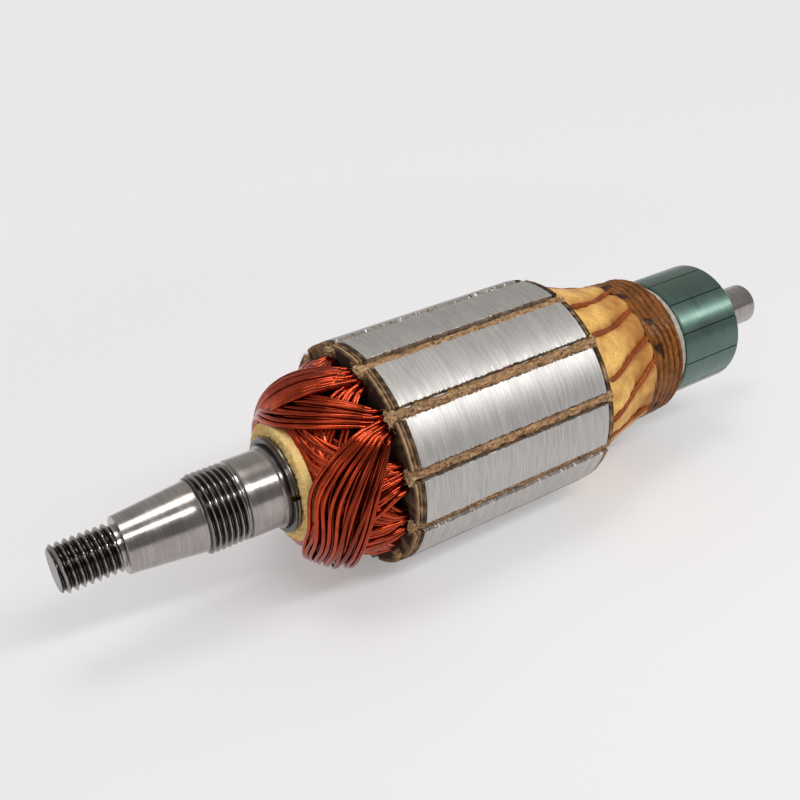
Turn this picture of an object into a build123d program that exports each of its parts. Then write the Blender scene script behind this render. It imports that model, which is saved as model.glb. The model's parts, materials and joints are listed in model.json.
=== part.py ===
from build123d import *
import os
from math import cos, radians, sin

# Dynamo armature. Millimetres, X along the shaft from the drive end to the commutator end, Z up.
# The origin is on the shaft's axis, in the plane of the drive-end bearing shoulder.
# Angles run from +Y towards +Z. The armature lies on the middle of a tooth of its core.

# Turned shaft, from the threaded tip to the bearing shoulder
tip_thread_radius = 6.0
tip_thread_length = 14.0
tip_chamfer = 0.9
relief_radius = 5.2
relief_length = 1.2
taper_small_radius = 7.05
taper_length = 18.3
taper_on_diameter_share = 0.2
nut_thread_radius = 9.9
nut_thread_length = 10.1
nut_thread_chamfer = 1.0
runout_radius = 9.1
runout_length = 0.8
seat_radius = 10.0
seat_length = 8.6

# Shaft behind the shoulder, through the core and the commutator
body_radius = 10.7
rear_body_radius = 9.0
journal_radius = 6.0
journal_length = 21.2
journal_chamfer = 0.7

# Split washer in front of the winding
washer_offset = 1.2
washer_thickness = 1.6
washer_width = 1.6
washer_split_width = 1.6
washer_split_angle = 167.3

# Pressboard sleeve under the drive-end winding, a little lower than the slot floors
sleeve_gap = 0.4
sleeve_length = 21.5

# Laminated core with its end plates
slot_count = 12
core_length = 57.4
drive_plate_thickness = 2.6
commutator_plate_thickness = 2.0

# Slot through the core: a round floor, flaring sides, and a mouth between two lips
yoke_thickness = 5.2
slot_floor_width = 3.6
slot_height = 10.5
slot_shoulder_width = 8.0
slot_lip_rise = 1.2
slot_lip_thickness = 1.9
slot_mouth_width = 3.1

# What fills a slot
liner_thickness = 0.35
liner_projection = 1.6
wedge_thickness = 1.0
wedge_recess = 0.6
wedge_projection = 0.8

# Drive-end winding head: coils wound in opposite pairs, each pair over the last, turned by one slot
coil_slot_count = 5
first_coil_index = 3
head_root_inset = 1.5
lowest_coil_share = 0.45
coil_arch_width = 8.5

# Commutator-end winding under its cover
cover_root_inset = 2.3
cover_waist_radius = 22.5
cover_waist_share = 0.62
cover_end_radius = 21.0
cover_length = 23.7
cover_thickness = 0.6

# Lead wires on the cover
lead_radius = 0.65
lead_place_shares = (0.1, 0.37, 0.66, 0.97)
lead_turn_angles = (0.0, -5.0, -11.0, -16.0)
lead_bend_radius = 12.0

# Cord binding behind the cover
binding_turns = 8
binding_length = 12.8
binding_end_radius = 20.2

# Commutator
ring_thickness = 2.7
ring_inset = 0.35
hub_wall = 3.15
commutator_length = 21.3
bar_count = 12
first_bar_slit_angle = 3.0
bar_slit_width = 0.5
bar_depth = 5.5
hub_recess = 0.8

# Fits
fit_clearance = 0.03
seat_clearance = 0.1
cut_overrun = 1.0

# Angles and radii that follow from these
quarter_turn_angle = 90.0
slot_pitch_angle = 4 * quarter_turn_angle / slot_count
bar_pitch_angle = 4 * quarter_turn_angle / bar_count
half_coil_angle = coil_slot_count * slot_pitch_angle / 2
washer_outer_radius = body_radius + washer_width
slot_floor_radius = body_radius + yoke_thickness
slot_shoulder_radius = slot_floor_radius + slot_height
slot_lip_radius = slot_shoulder_radius + slot_lip_rise
core_radius = slot_lip_radius + slot_lip_thickness
sleeve_outer_radius = slot_floor_radius - sleeve_gap
cover_root_radius = core_radius - cover_root_inset
hub_radius = rear_body_radius + hub_wall
commutator_radius = hub_radius + bar_depth
ring_radius = commutator_radius - ring_inset

# Stations along the shaft
seat_start = -seat_length
runout_start = seat_start - runout_length
nut_thread_start = runout_start - nut_thread_length
taper_start = nut_thread_start - taper_length
relief_start = taper_start - relief_length
tip_end = relief_start - tip_thread_length
washer_start = washer_offset
sleeve_start = washer_start + washer_thickness
drive_plate_start = sleeve_start + sleeve_length
core_start = drive_plate_start + drive_plate_thickness
commutator_plate_start = core_start + core_length
cover_start = commutator_plate_start + commutator_plate_thickness
binding_start = cover_start + cover_length
ring_start = binding_start + binding_length
commutator_start = ring_start + ring_thickness
commutator_end = commutator_start + commutator_length
journal_end = commutator_end + journal_length


def turned(points):
    """Solid of revolution about the shaft's axis from (station, radius) points."""
    return revolve(make_face(Polyline(*points, close=True)), axis=Axis.X)


def ring(start, end, inner_radius, outer_radius):
    """Plain ring on the shaft's axis between two stations."""
    corners = [(start, inner_radius), (end, inner_radius), (end, outer_radius), (start, outer_radius)]
    return turned(corners)


def slot_angle(index):
    return (index + 1 / 2) * slot_pitch_angle


def at_angle(shape, angle):
    """Turns a shape made at the top of the armature to an angle measured from +Y towards +Z."""
    return Rot(X=angle - quarter_turn_angle) * shape


def across(section, start, end):
    """Extrudes a section drawn across the shaft from one station to another."""
    return extrude(Plane.YZ.offset(start) * section, end - start)


def pocket_half_width(radius):
    """Half the width of a slot's pocket at a radius."""
    floor_centre = slot_floor_radius + slot_floor_width / 2
    flare = (slot_shoulder_width - slot_floor_width) / 2 / (slot_shoulder_radius - floor_centre)
    return slot_floor_width / 2 + flare * (radius - floor_centre)


def pocket(inset, top_radius):
    """Section of a slot's pocket at the top of the core, drawn in by an inset, up to a radius."""
    floor_centre = slot_floor_radius + slot_floor_width / 2
    low = slot_floor_width / 2 - inset
    high = pocket_half_width(top_radius) - inset
    corners = [(-low, floor_centre), (low, floor_centre), (high, top_radius), (-high, top_radius)]
    return make_face(Polyline(*corners, close=True)) + Pos(0, floor_centre) * Circle(low)


def mouth(inset, outer_radius):
    """Section of a slot's lips and mouth, drawn in by an inset, out to a radius."""
    gap = slot_mouth_width / 2 - inset
    base = slot_shoulder_radius - wedge_thickness
    right = [
        (pocket_half_width(base) - inset, base),
        (slot_shoulder_width / 2 - inset, slot_shoulder_radius),
        (gap, slot_lip_radius - inset),
        (gap, outer_radius),
    ]
    left = [(-across_slot, height) for across_slot, height in reversed(right)]
    return make_face(Polyline(*right, *left, close=True))


def punching():
    """Outline of a lamination or an end plate: a disc with the shaft's hole and the slots."""
    slot = pocket(0, slot_shoulder_radius) + mouth(0, core_radius + cut_overrun)
    slots = [Rot(Z=slot_angle(index) - quarter_turn_angle) * slot for index in range(slot_count)]
    return Circle(core_radius) - Circle(body_radius + fit_clearance) - slots


def shaft():
    taper_big_radius = taper_small_radius + taper_on_diameter_share * taper_length / 2
    return turned([
        (tip_end, 0),
        (tip_end, tip_thread_radius - tip_chamfer),
        (tip_end + tip_chamfer, tip_thread_radius),
        (relief_start, tip_thread_radius),
        (relief_start, relief_radius),
        (taper_start, relief_radius),
        (taper_start, taper_small_radius),
        (nut_thread_start, taper_big_radius),
        (nut_thread_start + nut_thread_chamfer, nut_thread_radius),
        (runout_start, nut_thread_radius),
        (runout_start, runout_radius),
        (seat_start, runout_radius),
        (seat_start, seat_radius),
        (0, seat_radius),
        (0, body_radius),
        (cover_start, body_radius),
        (cover_start, rear_body_radius),
        (commutator_end - hub_recess, rear_body_radius),
        (commutator_end - hub_recess, journal_radius),
        (journal_end - journal_chamfer, journal_radius),
        (journal_end, journal_radius - journal_chamfer),
        (journal_end, 0),
    ])


def split_washer():
    whole = ring(washer_start, sleeve_start, body_radius + fit_clearance, washer_outer_radius)
    split = Box(washer_thickness + cut_overrun, washer_split_width, washer_outer_radius)
    split = Pos(washer_start + washer_thickness / 2, 0, washer_outer_radius / 2 + body_radius / 2) * split
    return whole - at_angle(split, washer_split_angle)


def winding_sleeve():
    start = sleeve_start + seat_clearance
    return ring(start, drive_plate_start, body_radius + fit_clearance, sleeve_outer_radius)


def drive_end_plate():
    return across(punching(), drive_plate_start, core_start)


def lamination_stack():
    return across(punching(), core_start, commutator_plate_start)


def commutator_end_plate():
    return across(punching(), commutator_plate_start, cover_start)


def slot_liner():
    """Paper trough along one slot, standing out of both end plates."""
    top = slot_shoulder_radius - wedge_thickness - seat_clearance
    trough = pocket(fit_clearance, top) - pocket(fit_clearance + liner_thickness, top + cut_overrun)
    return across(trough, drive_plate_start - liner_projection, cover_start + liner_projection)


def slot_winding():
    """Copper that fills one lined slot."""
    top = slot_shoulder_radius - wedge_thickness - seat_clearance
    copper = pocket(fit_clearance + liner_thickness + fit_clearance, top)
    return across(copper, drive_plate_start - liner_projection, cover_start + liner_projection)


def slot_wedge():
    """Strip that closes one slot under the tooth lips."""
    strip = mouth(fit_clearance, core_radius - wedge_recess)
    return across(strip, drive_plate_start - wedge_projection, cover_start + wedge_projection)


def head_edge(level, clearance):
    """Quarter ellipse over the coils of the levels below, from the end plate to the sleeve."""
    levels = slot_count / 2
    share = lowest_coil_share + (1 - lowest_coil_share) * level / levels
    root = drive_plate_start - liner_projection - seat_clearance
    depth = root - sleeve_start
    rise = core_radius - head_root_inset - sleeve_outer_radius
    centre = (root, sleeve_outer_radius + seat_clearance)
    radii = (depth * share + clearance, rise * share + clearance)
    return EllipticalCenterArc(centre, *radii, start_angle=quarter_turn_angle, arc_size=quarter_turn_angle)


def head_shell(level):
    """Dome that the pair of coils on one level lies in."""
    outer = head_edge(level + 1, 0)
    if level == 0:
        corner = ((outer @ 0).X, (outer @ 1).Y)
        edges = [outer, Polyline(outer @ 1, corner, outer @ 0)]
    else:
        inner = head_edge(level, seat_clearance)
        edges = [outer, Line(outer @ 1, inner @ 1), inner, Line(inner @ 0, outer @ 0)]
    return revolve(make_face(edges), axis=Axis.X)


def coil_outline():
    """One coil seen along the shaft: an arch round the sleeve between two legs over its slots."""
    bore = sleeve_outer_radius + seat_clearance
    reach = core_radius + cut_overrun
    side = (2 * reach * sin(radians(half_coil_angle)), 2 * reach * cos(radians(half_coil_angle)))
    corners = [(0, 0), side, (side[0], 2 * reach), (-side[0], 2 * reach), (-side[0], side[1])]
    arch = (Circle(bore + coil_arch_width) - Circle(bore)) & make_face(Polyline(*corners, close=True))
    leg_width = 2 * (pocket_half_width(slot_shoulder_radius - wedge_thickness) - liner_thickness)
    leg = Pos(0, (bore + reach) / 2) * Rectangle(leg_width, reach - bore)
    return arch + [Rot(Z=turn) * leg for turn in (half_coil_angle, -half_coil_angle)] - Circle(bore)


def head_coil(index):
    """One coil of the drive-end winding, from its slot round the sleeve to its second slot."""
    level = (first_coil_index - index) % (slot_count // 2)
    root = drive_plate_start - liner_projection
    coil = head_shell(level) & across(coil_outline(), sleeve_start - cut_overrun, root)
    return at_angle(coil, slot_angle(index) + half_coil_angle)


def cover_radius(share):
    """Outside radius of the cover at a share of its length."""
    if share < cover_waist_share:
        return cover_root_radius + (cover_waist_radius - cover_root_radius) * share / cover_waist_share
    past_waist = (share - cover_waist_share) / (1 - cover_waist_share)
    return cover_waist_radius + (cover_end_radius - cover_waist_radius) * past_waist


def cover_points(inset):
    """Outside of the cover from the end plate to the binding, drawn in by an inset."""
    start = cover_start + liner_projection + seat_clearance
    shares = ((start - cover_start) / cover_length, cover_waist_share, 1)
    return [(cover_start + share * cover_length, cover_radius(share) - inset) for share in shares]


def winding_cover():
    """Varnished cloth laid over the commutator-end winding."""
    return turned(cover_points(0) + cover_points(cover_thickness)[::-1])


def rear_winding():
    """Commutator-end winding under the cover."""
    outside = cover_points(cover_thickness + seat_clearance)
    bore = rear_body_radius + seat_clearance
    return turned([(outside[0][0], bore), *outside, (outside[-1][0], bore)])


def lead_wire():
    """One lead from a slot, lying on the cover down to the binding."""
    places = []
    for share, angle in zip(lead_place_shares, lead_turn_angles):
        height = cover_radius(share) + lead_radius + seat_clearance
        turn = radians(quarter_turn_angle + angle)
        places.append((cover_start + share * cover_length, height * cos(turn), height * sin(turn)))
    path = FilletPolyline(*places, radius=lead_bend_radius)
    section = Plane(origin=path @ 0, z_dir=path % 0) * Circle(lead_radius)
    return sweep(section, path=path)


def cord_binding():
    """Turns of cord side by side, falling towards the commutator."""
    pitch = binding_length / binding_turns
    fall = (cover_end_radius - binding_end_radius) / binding_length
    bore = rear_body_radius + seat_clearance
    crests = []
    for turn in range(binding_turns):
        start = binding_start + seat_clearance + turn * pitch
        low = cover_end_radius - fall * turn * pitch - pitch / 4
        low_after = low - fall * pitch
        crest = (low + low_after) / 2 + pitch / 4
        crests.append(ThreePointArc((start, low), (start + pitch / 2, crest), (start + pitch, low_after)))
    base = Polyline(crests[-1] @ 1, ((crests[-1] @ 1).X, bore), ((crests[0] @ 0).X, bore), crests[0] @ 0)
    return revolve(make_face([*crests, base]), axis=Axis.X)


def insulating_ring():
    start = ring_start + 2 * seat_clearance
    return ring(start, commutator_start, rear_body_radius + seat_clearance, ring_radius)


def commutator_hub():
    """Moulded body that carries the bars on the shaft."""
    start = commutator_start + seat_clearance
    bore = rear_body_radius + fit_clearance
    return ring(start, commutator_end - hub_recess, bore, hub_radius - fit_clearance)


def commutator_bars():
    """Copper bars round the hub, parted by narrow slits."""
    whole = ring(commutator_start + seat_clearance, commutator_end, hub_radius, commutator_radius)
    slit = Box(commutator_length + cut_overrun, bar_slit_width, commutator_radius)
    slit = Pos(commutator_start + commutator_length / 2, 0, commutator_radius) * slit
    slits = [at_angle(slit, first_bar_slit_angle + index * bar_pitch_angle) for index in range(bar_count)]
    return whole - slits


def on_each_slot(shape):
    """Copies a shape made at the top of the armature to every slot."""
    return [at_angle(shape, slot_angle(index)) for index in range(slot_count)]


nodes = {
    "shaft": shaft(),
    "split_washer": split_washer(),
    "winding_sleeve": winding_sleeve(),
    "drive_end_plate": drive_end_plate(),
    "lamination_stack": lamination_stack(),
    "commutator_end_plate": commutator_end_plate(),
    "slot_liners": Compound(children=on_each_slot(slot_liner())),
    "slot_windings": Compound(children=on_each_slot(slot_winding())),
    "winding_cover": winding_cover(),
    "rear_winding": rear_winding(),
    "lead_wires": Compound(children=on_each_slot(lead_wire())),
    "cord_binding": cord_binding(),
    "insulating_ring": insulating_ring(),
    "commutator_hub": commutator_hub(),
    "commutator_bars": commutator_bars(),
}
for number, wedge in enumerate(on_each_slot(slot_wedge()), start=1):
    nodes[f"slot_wedge_{number:02d}"] = wedge
for index in range(slot_count):
    nodes[f"head_coil_{index + 1:02d}"] = head_coil(index)

os.makedirs("parts", exist_ok=True)
for name, shape in nodes.items():
    export_step(shape, f"parts/{name}.step")
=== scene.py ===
import json
import math
from collections import namedtuple

import bpy
import numpy as np
from mathutils import Matrix, Vector


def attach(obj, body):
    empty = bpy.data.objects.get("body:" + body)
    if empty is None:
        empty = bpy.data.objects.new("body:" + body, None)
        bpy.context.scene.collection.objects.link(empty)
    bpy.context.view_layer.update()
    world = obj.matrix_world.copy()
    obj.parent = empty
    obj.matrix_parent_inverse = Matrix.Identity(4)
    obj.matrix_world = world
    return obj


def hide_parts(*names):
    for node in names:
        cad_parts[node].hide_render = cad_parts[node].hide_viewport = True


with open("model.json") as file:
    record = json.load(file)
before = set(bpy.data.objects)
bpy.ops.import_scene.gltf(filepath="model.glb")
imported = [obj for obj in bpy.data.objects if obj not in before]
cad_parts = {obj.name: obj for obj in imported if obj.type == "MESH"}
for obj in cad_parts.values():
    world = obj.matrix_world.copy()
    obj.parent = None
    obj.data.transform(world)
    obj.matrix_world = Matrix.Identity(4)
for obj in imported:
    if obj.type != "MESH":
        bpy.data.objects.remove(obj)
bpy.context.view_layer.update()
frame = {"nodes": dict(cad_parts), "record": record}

bl_info = {
    "name": "Dynamo armature",
    "version": (1, 0, 0),
    "blender": (4, 5, 0),
    "location": "3D View > Sidebar > Armature",
    "description": "Dresses the solids of a wound dynamo armature with wire, fibre, cord and turned metal",
    "category": "Object",
}

MM = 0.001
FULL_TURN = 2 * math.pi
SLOT_COUNT = 12
COIL_PITCH_SLOTS = 5
HALF_COIL = COIL_PITCH_SLOTS * math.pi / SLOT_COUNT
BAR_COUNT = 12

# Thread form: depth as a share of the pitch, and the flat root and the flank as shares of half a pitch
THREAD_DEPTH = 0.6
ROOT_FLAT = 0.14
FLANK_RUN = 0.78

# Where each piece's own random numbers start, counted from the seed in the settings
DRAWS = {"core": 3, "sleeve": 5, "end_plates": 20, "slot_paper": 77, "slot_strips": 100, "coils": 500,
         "leads": 700}

# How the wires of a coil lie over the winding head. share: of the usual wires across. back, spread and drop:
# how far they sit behind the sleeve's front, spread along the shaft and lie below the highest coil. dome: how
# round their dome is. tight, far and loose: how late the inmost wire on either side and the outermost turn
# to a slot. slant and rise: how much farther back their first half sits, and how far above the sleeve their
# nose lies. Lengths are in millimetres.
Lay = namedtuple("Lay", "share back spread drop dome tight far loose slant rise",
                 defaults=(0.66, 3.2, 4.0, 2.0, 1.3, 8.5, 8.5, 2.6, 0.0, 0.0))
COIL_LAYS = {
    "head_coil_05": Lay(share=0.92, back=0.1, spread=8.8, drop=0.2, dome=2.0, far=4.0, loose=2.0),
    "head_coil_06": Lay(back=0.9, drop=1.3),
    "head_coil_07": Lay(back=0.9, drop=1.3),
    "head_coil_11": Lay(share=0.84, back=2.6, spread=0.4, drop=1.0, dome=2.0, loose=1.9, rise=1.4),
    "head_coil_12": Lay(share=0.75, back=0.8, spread=6.6, drop=1.6, dome=1.5, far=4.6, slant=1.8),
    "head_coil_01": Lay(share=0.75, back=2.9, spread=3.0, drop=1.6, dome=1.35, far=11.0, loose=3.0),
}

# Degrees of each slot's lead off its slot where it leaves the core and where it meets the binding
LEAD_SWEEPS = ((-3, -14), (2, -12), (-2, -16), (3, -13), (-4, -17), (-6, -22),
               (-8, -34), (-24, -21), (-3, -15), (1, -12), (-5, -18), (2, -13))

# Camera: its place, the direction back from what it sees, its roll, and its focal length in pixels
CAMERA_PLACE = (-0.0855, -0.2009, 0.1444)
CAMERA_BACK = (-0.4594, -0.7391, 0.4927)
CAMERA_ROLL = math.radians(-3.372)
FOCAL_PIXELS = 1063.8
PICTURE_PIXELS = 800.0
SENSOR_WIDTH = 36.0

# Light: the lamps, what they point at, and the world's strength in front, behind and as the camera sees it
Lamp = namedtuple("Lamp", "name place lengthwise length width power")
LAMPS = (
    Lamp("key_strip", (0.46, -0.515, 0.603), (1.0, -0.147, -0.126), 1.1, 0.1, 4.8),
    Lamp("top_soft", (0.02, 0.12, 1.1), (1.0, 0.0, 0.0), 0.5, 0.4, 2.6),
    Lamp("left_fill", (-0.86, -0.46, 0.63), (1.0, 0.0, 0.0), 0.6, 0.6, 2.0),
)
LIT_STATION = 0.055
WORLD_COLOUR = (1.0, 0.97, 0.935, 1.0)
WORLD_FRONT = 0.24
WORLD_BEHIND = 0.5
WORLD_SEEN = 0.83
FLOOR_COLOUR = (0.9, 0.895, 0.9, 1.0)
FLOOR_GLOW = (0.83, 0.82, 0.825, 1.0)
FLOOR_HALF = 4.0


# Reading the frame

def node_points(name):
    """Vertices of a CAD node in millimetres."""
    mesh = frame["nodes"][name].data
    points = np.empty(len(mesh.vertices) * 3)
    mesh.vertices.foreach_get("co", points)
    return points.reshape(-1, 3) / MM


def radius_of(points):
    """Distance of points from the shaft's axis."""
    return np.hypot(points[..., 1], points[..., 2])


def span(name):
    """First and last station of a node along the shaft, and its outside radius, in millimetres."""
    points = node_points(name)
    return points[:, 0].min(), points[:, 0].max(), radius_of(points).max()


def bore_of(name):
    """Smallest radius of a node about the shaft's axis, in millimetres."""
    return radius_of(node_points(name)).min()


def turned_profile(name):
    """Corners (station, radius) of a turned node, in order along the shaft."""
    points = node_points(name)
    stations = np.round(points[:, 0], 3)
    radii = np.round(radius_of(points), 3)
    profile = []
    for station in np.unique(stations):
        steps = np.unique(radii[stations == station])
        if profile and abs(steps[0] - profile[-1][1]) > abs(steps[-1] - profile[-1][1]):
            steps = steps[::-1]
        profile.extend((station, radius) for radius in steps[:: max(1, len(steps) - 1)])
    return profile


def slot_angles():
    """Angle of each slot about the shaft, from +Y towards +Z, read from its wedge."""
    angles = []
    for index in range(SLOT_COUNT):
        centre = node_points(f"slot_wedge_{index + 1:02d}").mean(axis=0)
        angles.append(math.atan2(centre[2], centre[1]))
    return angles


# Making meshes

def draws(settings, piece, index=0):
    """Random numbers of one piece, the same in each run."""
    return np.random.default_rng(settings.seed + DRAWS[piece] + index)


def waves(points, length, seed, count=7):
    """Smooth irregular field from -1 to 1 over points, as a sum of waves about one length long."""
    rng = np.random.default_rng(seed)
    points = np.asarray(points, float)
    total = np.zeros(points.shape[:-1])
    for _ in range(count):
        direction = rng.normal(size=points.shape[-1])
        direction *= FULL_TURN / (length * rng.uniform(0.7, 1.5) * np.linalg.norm(direction))
        total += np.sin(points @ direction + rng.uniform(0, FULL_TURN))
    return total / math.sqrt(count) * 0.8


def rumple(points, layers, seed):
    """Irregular relief over points, from (length, height) of each layer of waves."""
    return sum(waves(points, length, seed + place) * height for place, (length, height) in enumerate(layers))


def ease(value):
    """Runs smoothly from 0 to 1 and stays there."""
    value = np.clip(value, 0, 1)
    return value * value * (3 - 2 * value)


def stacked(*parts):
    """Points from arrays of their three coordinates."""
    return np.stack(np.broadcast_arrays(*parts), axis=-1)


def angles_round(count):
    """Even angles once round the shaft."""
    return np.linspace(0, FULL_TURN, count, endpoint=False)


def polar(station, radius, angle):
    """Points from stations, radii and angles about the shaft's axis."""
    return stacked(station, radius * np.cos(angle), radius * np.sin(angle))


def lathe(profile, segments):
    """Grid of points from a profile turned about the shaft's axis."""
    profile = np.asarray(profile, float)
    return polar(profile[:, :1], profile[:, 1:2], angles_round(segments)[None])


def swell(points, height):
    """Moves points away from the shaft's axis by a height, or towards it."""
    radii = radius_of(points)
    points[..., 1:] *= ((radii + height) / radii)[..., None]


def upright(points, angle):
    """Turns points made at the top of the armature to an angle about the shaft."""
    turn = angle - math.pi / 2
    cos, sin = math.cos(turn), math.sin(turn)
    y, z = points[..., 1], points[..., 2]
    return stacked(points[..., 0], y * cos - z * sin, y * sin + z * cos)


def chamfered(profile, size):
    """Profile with a small chamfer cut on each corner between longer runs."""
    profile = [np.array(corner, float) for corner in profile]
    cut = [profile[0]]
    for before, corner, after in zip(profile, profile[1:], profile[2:]):
        for end in (before, after):
            run = end - corner
            cut.append(corner + run * min(size / np.linalg.norm(run), 0.4))
    return cut + [profile[-1]]


def grid_faces(rows, columns, closed):
    """Quads over a grid of points, row after row, joined round its columns when closed."""
    row = np.arange(rows - 1)[:, None] * columns
    column = np.arange(columns if closed else columns - 1)[None]
    after = (column + 1) % columns
    quads = np.stack([row + column, row + after, row + columns + after, row + columns + column], axis=-1)
    return quads.reshape(-1, 4)


class Sheet:
    """Gathers points and faces of one mesh in millimetres."""

    # A direction that no tube starts along, to find its first side
    ASKEW = (0.31, 0.87, 0.39)

    def __init__(self):
        self.points = []
        self.faces = []
        self.count = 0

    def add(self, points, faces):
        """Adds points with faces that count from the first of them."""
        points = np.asarray(points, float).reshape(-1, 3)
        self.faces.extend([[corner + self.count for corner in face] for face in faces])
        self.points.append(points)
        self.count += len(points)

    def grid(self, points, closed=False, caps=False):
        """Adds rows of points as a skin, with its first and last row filled when capped."""
        rows, columns = points.shape[:2]
        faces = grid_faces(rows, columns, closed).tolist()
        if caps:
            faces.append(list(range(columns))[::-1])
            faces.append(list(range((rows - 1) * columns, rows * columns)))
        self.add(points, faces)

    def ring(self, points):
        """Adds rows of points as a skin closed both ways, like a torus."""
        rows, columns = points.shape[:2]
        faces = grid_faces(rows + 1, columns, True) % (rows * columns)
        self.add(points, faces.tolist())

    def tube(self, path, radius, sides):
        """Adds a round tube with closed ends along a path, with a radius that may change along it."""
        path = np.asarray(path, float)
        tangents = np.gradient(path, axis=0)
        tangents /= np.linalg.norm(tangents, axis=1, keepdims=True)
        side = np.cross(tangents[0], self.ASKEW)
        sides_at = np.empty_like(path)
        for place, tangent in enumerate(tangents):
            side = side - tangent * side.dot(tangent)
            side = side / np.linalg.norm(side)
            sides_at[place] = side
        other = np.cross(tangents, sides_at)
        turn = angles_round(sides)[None, :, None]
        radius = np.broadcast_to(radius, len(path))[:, None, None]
        rim = np.cos(turn) * sides_at[:, None] + np.sin(turn) * other[:, None]
        self.grid(path[:, None] + radius * rim, closed=True, caps=True)

    def piece(self, name, material, slot, nodes, sharp=40.0):
        """Makes the mesh an object that rides on the armature and stands for CAD nodes."""
        mesh = bpy.data.meshes.new(name)
        mesh.from_pydata(np.concatenate(self.points) * MM, [], self.faces)
        mesh.validate()
        mesh.polygons.foreach_set("use_smooth", [True] * len(mesh.polygons))
        mesh.set_sharp_from_angle(angle=math.radians(sharp))
        mesh.materials.append(material)
        piece = bpy.data.objects.new(name, mesh)
        bpy.context.scene.collection.objects.link(piece)
        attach(piece, "root")
        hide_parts(*nodes)
        return piece


def mark_dirt_and_painted_shade(piece, *values):
    """Stores how dark each point of a piece is with dirt and painted shade, from 0 to 1, for its material."""
    marks = np.concatenate([np.ravel(part) for part in values])
    attribute = piece.data.attributes.new("grime", "FLOAT", "POINT")
    attribute.data.foreach_set("value", marks.astype(np.float32))


# Shader groups and materials

def add_node(tree, kind, values=None, **settings):
    """New node of a kind, with settings and the values of its inputs by name or place."""
    node = tree.nodes.new(kind)
    for key, value in settings.items():
        setattr(node, key, value)
    for key, value in (values or {}).items():
        socket = node.inputs[key]
        if isinstance(value, bpy.types.NodeSocket):
            tree.links.new(value, socket)
        else:
            socket.default_value = value
    return node


def math_node(tree, operation, first, second, **settings):
    """Result of a sum on two values."""
    node = add_node(tree, "ShaderNodeMath", {0: first, 1: second}, operation=operation, **settings)
    return node.outputs[0]


def new_group(name, inputs, outputs):
    """Empty shader group with the defaults of its inputs, and number outputs."""
    tree = bpy.data.node_groups.new(name, "ShaderNodeTree")
    for label, default in inputs.items():
        kind = "NodeSocketVector" if isinstance(default, tuple) else "NodeSocketFloat"
        socket = tree.interface.new_socket(name=label, in_out="INPUT", socket_type=kind)
        socket.default_value = default
    for label in outputs:
        tree.interface.new_socket(name=label, in_out="OUTPUT", socket_type="NodeSocketFloat")
    return tree, tree.nodes.new("NodeGroupInput").outputs, tree.nodes.new("NodeGroupOutput").inputs


def grain_group():
    """Stretched grain: fine lines and slower drift along chosen directions."""
    name = "stretched_grain"
    if name in bpy.data.node_groups:
        return bpy.data.node_groups[name]
    inputs = {"Stretch": (1, 1, 1), "Scale": 1000.0, "Roughness": 0.6}
    tree, given, result = new_group(name, inputs, ["Fine", "Slow"])
    place = add_node(tree, "ShaderNodeTexCoord").outputs["Object"]
    stretched = add_node(tree, "ShaderNodeVectorMath", {0: place, 1: given["Stretch"]}, operation="MULTIPLY")
    scaled = stretched.outputs[0]
    fine = add_node(tree, "ShaderNodeTexNoise", {
        "Vector": scaled, "Scale": given["Scale"], "Detail": 5.0, "Roughness": given["Roughness"]})
    low = math_node(tree, "MULTIPLY", given["Scale"], 0.12)
    slow = add_node(tree, "ShaderNodeTexNoise", {"Vector": scaled, "Scale": low, "Detail": 3.0})
    tree.links.new(fine.outputs["Fac"], result["Fine"])
    tree.links.new(slow.outputs["Fac"], result["Slow"])
    return tree


def blotch_group():
    """Soft blotches of a given size with a threshold, for stains, oil and dust."""
    name = "blotches"
    if name in bpy.data.node_groups:
        return bpy.data.node_groups[name]
    inputs = {"Scale": 200.0, "Cover": 0.5, "Softness": 0.1}
    tree, given, result = new_group(name, inputs, ["Mask"])
    place = add_node(tree, "ShaderNodeTexCoord").outputs["Object"]
    noise = add_node(tree, "ShaderNodeTexNoise", {
        "Vector": place, "Scale": given["Scale"], "Detail": 6.0, "Roughness": 0.62})
    edge = math_node(tree, "SUBTRACT", 1.0, given["Cover"])
    low = math_node(tree, "SUBTRACT", edge, given["Softness"])
    high = math_node(tree, "ADD", edge, given["Softness"])
    values = {"Value": noise.outputs["Fac"], "From Min": low, "From Max": high}
    mask = add_node(tree, "ShaderNodeMapRange", values, interpolation_type="SMOOTHSTEP")
    tree.links.new(mask.outputs["Result"], result["Mask"])
    return tree


def dirt_and_painted_shade_group():
    """Dirt and painted shade in the hollows of a piece and under other parts, from the mark that each of its
    points carries.
    """
    name = "grime"
    if name in bpy.data.node_groups:
        return bpy.data.node_groups[name]
    tree, given, result = new_group(name, {"Amount": 1.0}, ["Mask"])
    marked = add_node(tree, "ShaderNodeAttribute", attribute_name="grime").outputs["Fac"]
    mask = math_node(tree, "MULTIPLY", marked, given["Amount"], use_clamp=True)
    tree.links.new(mask, result["Mask"])
    return tree


def place_group(tree, group, **values):
    """Places a shader group in a material with its own values, and gives its outputs."""
    node = tree.nodes.new("ShaderNodeGroup")
    node.node_tree = group
    for key, value in values.items():
        node.inputs[key].default_value = value
    return node.outputs


def new_material(name, **constants):
    """Material with one Principled shader, and values that are the same all over it."""
    material = bpy.data.materials.new(name)
    material.use_nodes = True
    shader = material.node_tree.nodes["Principled BSDF"]
    for key, value in constants.items():
        shader.inputs[key.replace("_", " ")].default_value = value
    return material, material.node_tree, shader


def tint(tree, factor, low, high):
    """Colour that runs from low to high with a factor."""
    mixer = add_node(tree, "ShaderNodeMix", data_type="RGBA")
    tree.links.new(factor, mixer.inputs["Factor"])
    for socket, colour in ((mixer.inputs[6], low), (mixer.inputs[7], high)):
        if isinstance(colour, bpy.types.NodeSocket):
            tree.links.new(colour, socket)
        else:
            socket.default_value = (*colour, 1.0)
    return mixer.outputs[2]


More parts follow.
